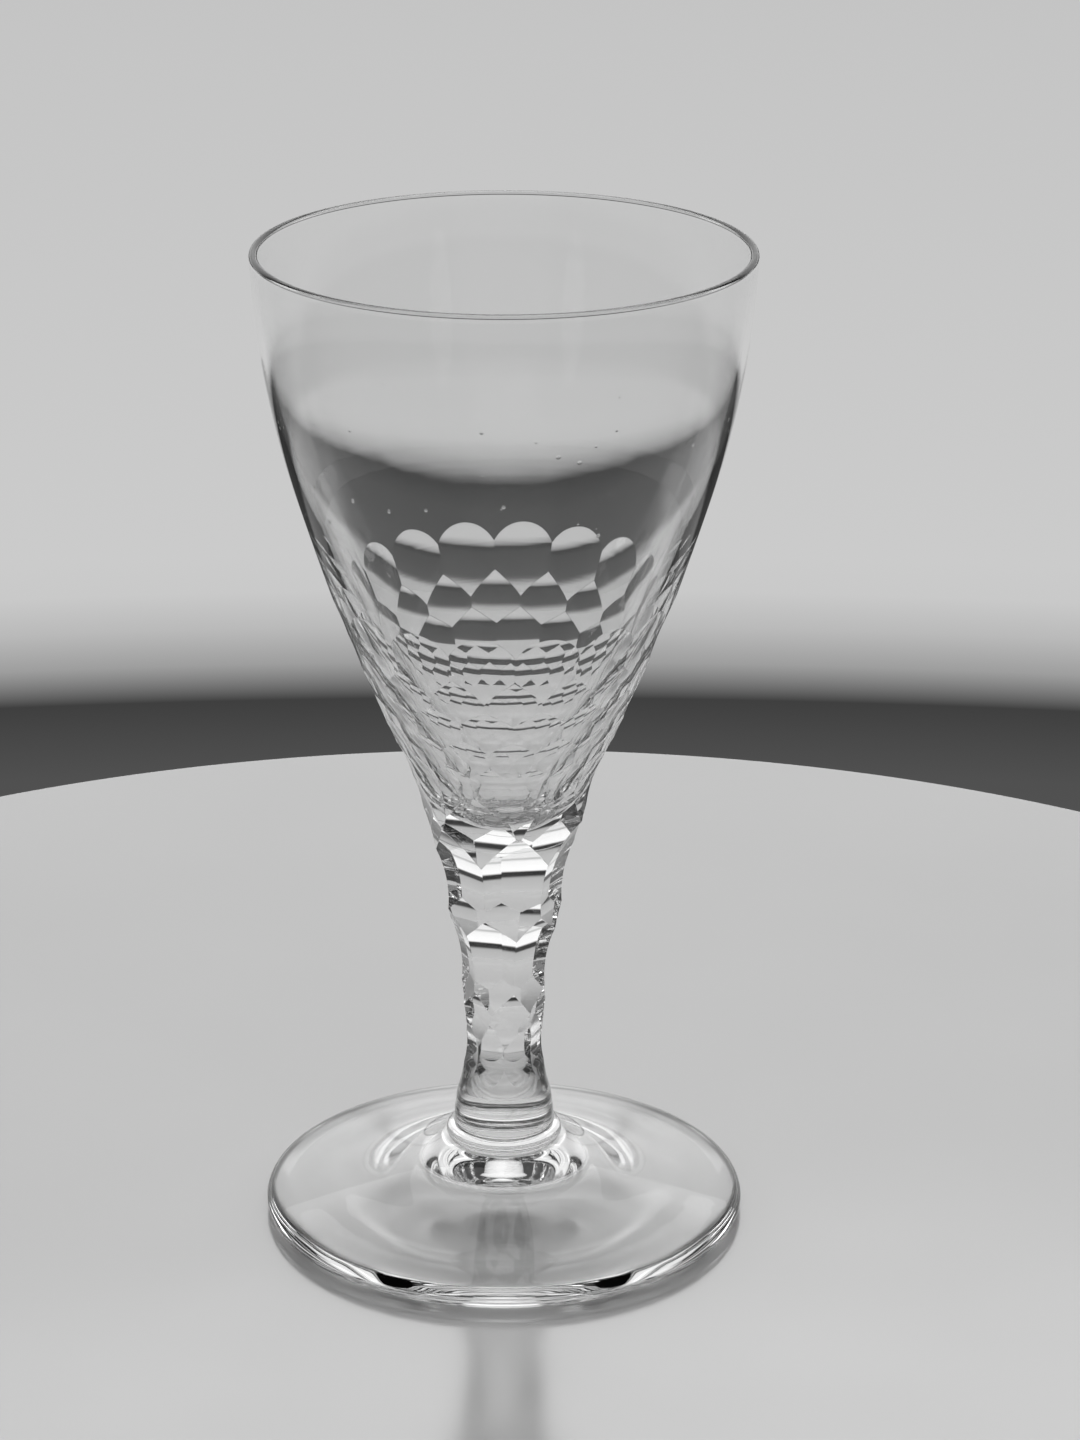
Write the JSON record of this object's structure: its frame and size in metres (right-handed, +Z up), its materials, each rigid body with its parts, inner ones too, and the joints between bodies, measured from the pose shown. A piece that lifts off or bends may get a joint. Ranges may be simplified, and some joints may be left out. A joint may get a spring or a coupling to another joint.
{
  "type": "wine glass",
  "caption": "Stemmed wine glass with a deep conical bowl cut in rows of offset scale facets, a facet-cut stem, a collar and a wide domed foot.",
  "frame": {"origin": "on the glass's axis, in the plane that the foot's ground ring stands on", "axes": "+Z up along the glass's axis, -Y towards the viewer's side, +X to the right of it"},
  "size_m": [0.0664, 0.0664, 0.1371],
  "materials": {
    "bowl_glass": "polished clear",
    "stem_glass": "polished clear",
    "collar_glass": "polished clear",
    "foot_glass": "polished clear, ground rest ring"
  },
  "bodies": {
    "root": {"bowl": "bowl_glass", "stem": "stem_glass", "foot_collar": "collar_glass", "foot": "foot_glass"}
  },
  "joints": []
}
